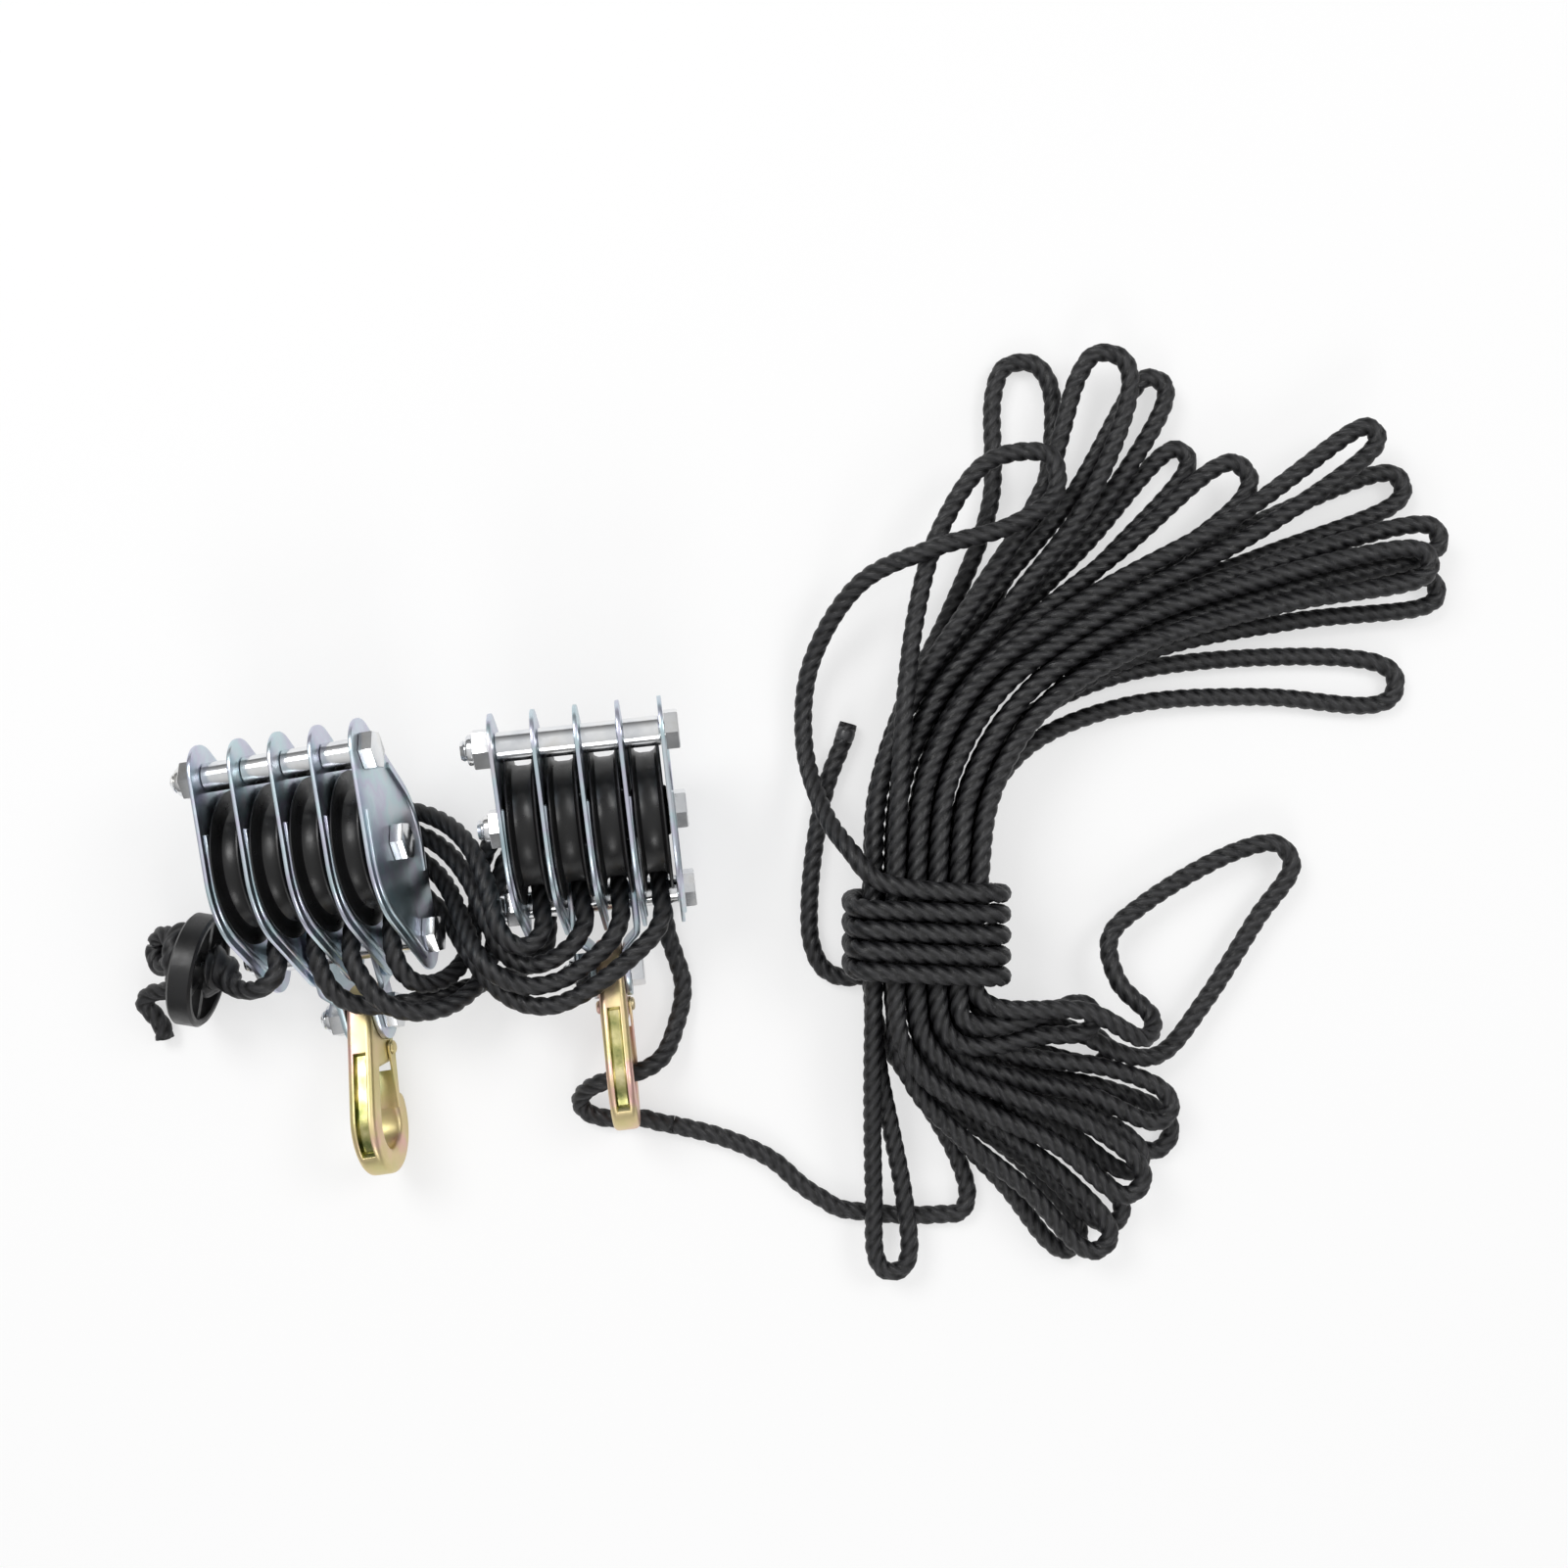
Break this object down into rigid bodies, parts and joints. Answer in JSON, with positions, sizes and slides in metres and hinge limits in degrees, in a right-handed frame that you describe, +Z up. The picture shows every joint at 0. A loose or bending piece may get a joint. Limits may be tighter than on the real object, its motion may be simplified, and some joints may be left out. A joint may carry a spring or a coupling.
{
  "type": "block and tackle",
  "caption": "Pulley tackle: two plate-sided sheave blocks with swinging latch hooks, a laid rope reeved between them past a stopper ring, and its hauling part in a tied hank.",
  "frame": {"origin": "on the floor under the middle of the two blocks, their reeved rope and the stopper ring; the loose hauling rope and its hank lie to the +X and -Y side", "axes": "+X from the left block to the right block, +Y from the hooks towards the top bolts of the blocks, +Z up from the floor"},
  "size_m": [0.6659, 0.4708, 0.1064],
  "materials": {
    "zinc_plate": "bright zinc plate with a blue cast",
    "bright_zinc": "bright zinc plate",
    "hook_steel": "yellow chromate over zinc, iridescent",
    "black_plastic": "moulded black plastic",
    "rope_fibre": "black laid rope with a satin sheen"
  },
  "bodies": {
    "haul_block": {"right_side_plate_1": "zinc_plate", "right_side_plate_2": "zinc_plate", "right_side_plate_3": "zinc_plate", "right_side_plate_4": "zinc_plate", "right_side_plate_5": "zinc_plate", "right_top_spacer_1": "bright_zinc", "right_bottom_spacer_1": "bright_zinc", "right_top_spacer_2": "bright_zinc", "right_bottom_spacer_2": "bright_zinc", "right_top_spacer_3": "bright_zinc", "right_bottom_spacer_3": "bright_zinc", "right_top_spacer_4": "bright_zinc", "right_bottom_spacer_4": "bright_zinc", "right_top_bolt": "bright_zinc", "right_top_nut": "bright_zinc", "right_axle_bolt": "bright_zinc", "right_axle_nut": "bright_zinc", "right_bottom_bolt": "bright_zinc", "right_bottom_nut": "bright_zinc", "reeved_rope": "rope_fibre", "free_rope": "rope_fibre", "rope_hank": "rope_fibre"},
    "left_block": {"left_side_plate_1": "zinc_plate", "left_side_plate_2": "zinc_plate", "left_side_plate_3": "zinc_plate", "left_side_plate_4": "zinc_plate", "left_side_plate_5": "zinc_plate", "left_top_spacer_1": "bright_zinc", "left_bottom_spacer_1": "bright_zinc", "left_top_spacer_2": "bright_zinc", "left_bottom_spacer_2": "bright_zinc", "left_top_spacer_3": "bright_zinc", "left_bottom_spacer_3": "bright_zinc", "left_top_spacer_4": "bright_zinc", "left_bottom_spacer_4": "bright_zinc", "left_top_bolt": "bright_zinc", "left_top_nut": "bright_zinc", "left_axle_bolt": "bright_zinc", "left_axle_nut": "bright_zinc", "left_bottom_bolt": "bright_zinc", "left_bottom_nut": "bright_zinc", "left_stopper_ring": "black_plastic"},
    "left_sheave_1": {"left_sheave_1": "black_plastic"},
    "left_sheave_2": {"left_sheave_2": "black_plastic"},
    "left_sheave_3": {"left_sheave_3": "black_plastic"},
    "left_sheave_4": {"left_sheave_4": "black_plastic"},
    "left_carrier": {"left_carrier_leg_left": "zinc_plate", "left_carrier_leg_right": "zinc_plate", "left_clevis_bolt": "bright_zinc"},
    "left_hook": {"left_hook": "hook_steel"},
    "left_hook_latch": {"left_hook_latch": "bright_zinc"},
    "right_sheave_1": {"right_sheave_1": "black_plastic"},
    "right_sheave_2": {"right_sheave_2": "black_plastic"},
    "right_sheave_3": {"right_sheave_3": "black_plastic"},
    "right_sheave_4": {"right_sheave_4": "black_plastic"},
    "right_carrier": {"right_carrier_leg_left": "zinc_plate", "right_carrier_leg_right": "zinc_plate", "right_clevis_bolt": "bright_zinc"},
    "right_hook": {"right_hook": "hook_steel"},
    "right_hook_latch": {"right_hook_latch": "bright_zinc"}
  },
  "joints": [
    {"name": "left_block_slide", "type": "slide", "parent": "haul_block", "child": "left_block", "axis": [-0.991, -0.1341, 0], "range_m": [-0.01, 0.06], "deforming": ["reeved_rope"]},
    {"name": "left_sheave_1_spin", "type": "hinge", "parent": "left_block", "child": "left_sheave_1", "pos_m": [-0.06842, 0.03774, 0.04966], "axis": [0.9828, 0.1596, 0.0927], "continuous": true},
    {"name": "left_sheave_2_spin", "type": "hinge", "parent": "left_block", "child": "left_sheave_2", "pos_m": [-0.04925, 0.04085, 0.05147], "axis": [0.9828, 0.1596, 0.0927], "continuous": true},
    {"name": "left_sheave_3_spin", "type": "hinge", "parent": "left_block", "child": "left_sheave_3", "pos_m": [-0.03009, 0.04396, 0.05328], "axis": [0.9828, 0.1596, 0.0927], "continuous": true},
    {"name": "left_sheave_4_spin", "type": "hinge", "parent": "left_block", "child": "left_sheave_4", "pos_m": [-0.01092, 0.04707, 0.05508], "axis": [0.9828, 0.1596, 0.0927], "continuous": true},
    {"name": "left_carrier_swing", "type": "hinge", "parent": "left_block", "child": "left_carrier", "pos_m": [-0.02971, -0.00445, 0.02744], "axis": [0.9828, 0.1596, 0.0927], "range_deg": [-65.13, 84.87]},
    {"name": "left_hook_swing", "type": "hinge", "parent": "left_carrier", "child": "left_hook", "pos_m": [-0.02303, -0.03906, 0.0162], "axis": [0.9828, 0.1596, 0.0927], "range_deg": [-37.25, 92.75]},
    {"name": "left_hook_latch_swing", "type": "hinge", "parent": "left_hook", "child": "left_hook_latch", "pos_m": [-0.01972, -0.05761, 0.01304], "axis": [0.9828, 0.1596, 0.0927], "range_deg": [-36, 0], "stiffness_Nm_per_rad": 0.02, "springref_deg": 17.19},
    {"name": "right_sheave_1_spin", "type": "hinge", "parent": "haul_block", "child": "right_sheave_1", "pos_m": [0.06432, 0.05719, 0.05692], "axis": [0.9918, 0.1098, -0.0653], "continuous": true},
    {"name": "right_sheave_2_spin", "type": "hinge", "parent": "haul_block", "child": "right_sheave_2", "pos_m": [0.08366, 0.05934, 0.05565], "axis": [0.9918, 0.1098, -0.0653], "continuous": true},
    {"name": "right_sheave_3_spin", "type": "hinge", "parent": "haul_block", "child": "right_sheave_3", "pos_m": [0.103, 0.06148, 0.05437], "axis": [0.9918, 0.1098, -0.0653], "continuous": true},
    {"name": "right_sheave_4_spin", "type": "hinge", "parent": "haul_block", "child": "right_sheave_4", "pos_m": [0.12234, 0.06362, 0.0531], "axis": [0.9918, 0.1098, -0.0653], "continuous": true},
    {"name": "right_carrier_swing", "type": "hinge", "parent": "haul_block", "child": "right_carrier", "pos_m": [0.09545, 0.02002, 0.01923], "axis": [0.9918, 0.1098, -0.0653], "range_deg": [-38.37, 111.63]},
    {"name": "right_hook_swing", "type": "hinge", "parent": "right_carrier", "child": "right_hook", "pos_m": [0.09929, -0.01664, 0.01602], "axis": [0.9918, 0.1098, -0.0653], "range_deg": [-50.05, 79.95]},
    {"name": "right_hook_latch_swing", "type": "hinge", "parent": "right_hook", "child": "right_hook_latch", "pos_m": [0.10116, -0.03539, 0.01284], "axis": [0.9918, 0.1098, -0.0653], "range_deg": [-36, 0], "stiffness_Nm_per_rad": 0.02, "springref_deg": 17.19}
  ]
}
